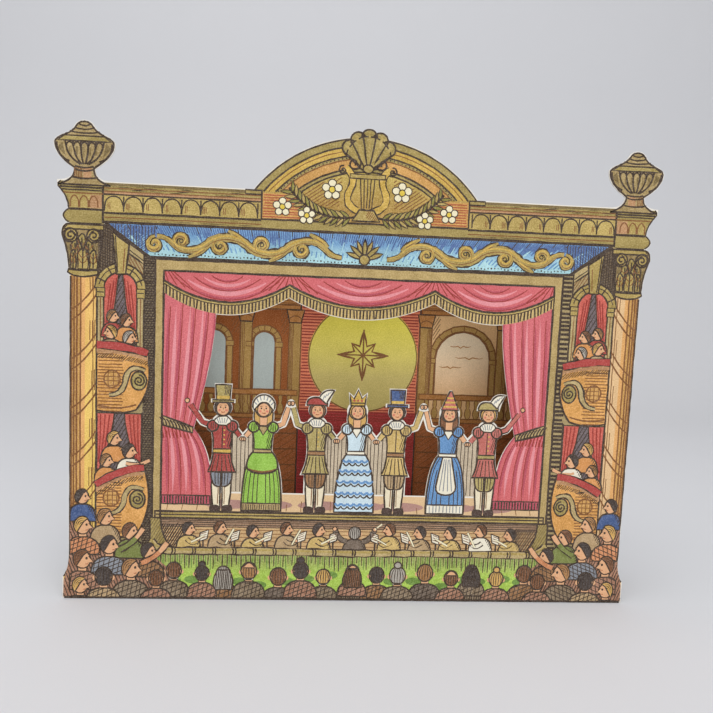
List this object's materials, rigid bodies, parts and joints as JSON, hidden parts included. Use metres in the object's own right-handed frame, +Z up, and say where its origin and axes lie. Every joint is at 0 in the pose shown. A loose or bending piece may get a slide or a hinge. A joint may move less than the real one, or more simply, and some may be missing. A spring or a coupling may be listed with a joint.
{
  "type": "stand-up toy theatre greeting card",
  "caption": "Stand-up greeting card shaped as a toy theatre: a die-cut proscenium sheet with a row of paper players, glued to a folded stage back that holds it upright",
  "frame": {"origin": "middle of the standing card's footprint, on the table", "axes": "+X along the front to the right as seen from the front, +Y from the front sheet to the backdrop, +Z up"},
  "size_m": [0.2, 0.03, 0.1596],
  "materials": {
    "printed_card": "matt coated card printed in flat watercolour tints and brown line on its face, white behind",
    "stage_card": "matt coated card, white outside, printed with the stage backdrop inside"
  },
  "bodies": {
    "root": {"theatre_front": "printed_card", "stage_back": "stage_card"}
  },
  "joints": []
}
